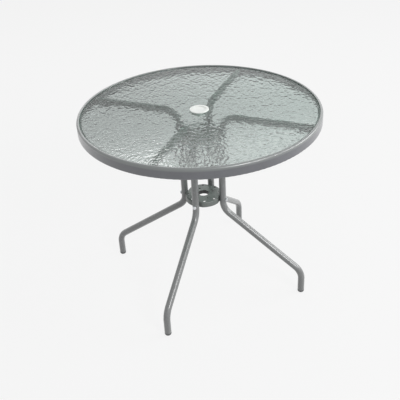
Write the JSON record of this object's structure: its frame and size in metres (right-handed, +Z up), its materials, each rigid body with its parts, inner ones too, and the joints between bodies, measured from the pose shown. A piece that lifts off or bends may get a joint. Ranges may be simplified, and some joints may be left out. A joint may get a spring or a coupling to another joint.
{
  "type": "umbrella table",
  "caption": "Round patio table with a rippled glass top in a grey steel rim, a capped umbrella hole, and bent tube legs joined by two pressed hub plates.",
  "frame": {"origin": "on the floor, on the axis of the umbrella pole, in the middle of the four feet", "axes": "+Z up along the pole's axis; the legs stand on +X (right), +Y (back), -X (left) and -Y (front)"},
  "size_m": [0.8499, 0.85, 0.715],
  "materials": {
    "painted_steel": "smooth grey satin paint",
    "rippled_glass": "tempered, rippled underneath",
    "white_plastic": "moulded, slightly glossy",
    "grey_plastic": "moulded",
    "clear_pads": "clear soft vinyl",
    "zinc_steel": "bright zinc plate"
  },
  "bodies": {
    "frame": {"rim_hoop": "painted_steel", "ledge_pads": "clear_pads", "arm_pads": "clear_pads", "lower_hub_plate": "painted_steel", "upper_hub_plate": "painted_steel", "lower_pole_collar": "painted_steel", "upper_pole_collar": "painted_steel", "hub_bolts": "zinc_steel", "hub_washers": "zinc_steel", "hub_nuts": "zinc_steel", "bracket_screws": "zinc_steel", "bracket_nuts": "zinc_steel", "right_leg_tube": "painted_steel", "right_foot_cap": "grey_plastic", "right_arm_plug": "grey_plastic", "right_rim_bracket": "painted_steel", "back_leg_tube": "painted_steel", "back_foot_cap": "grey_plastic", "back_arm_plug": "grey_plastic", "back_rim_bracket": "painted_steel", "left_leg_tube": "painted_steel", "left_foot_cap": "grey_plastic", "left_arm_plug": "grey_plastic", "left_rim_bracket": "painted_steel", "front_leg_tube": "painted_steel", "front_foot_cap": "grey_plastic", "front_arm_plug": "grey_plastic", "front_rim_bracket": "painted_steel"},
    "glass": {"glass_top": "rippled_glass", "umbrella_ring": "white_plastic"},
    "cap": {"umbrella_cap": "white_plastic"}
  },
  "joints": [
    {"name": "glass_lift", "type": "slide", "parent": "frame", "child": "glass", "axis": [0, 0, 1], "range_m": [0, 0.1]},
    {"name": "cap_lift", "type": "slide", "parent": "glass", "child": "cap", "axis": [0, 0, 1], "range_m": [0, 0.06]}
  ]
}
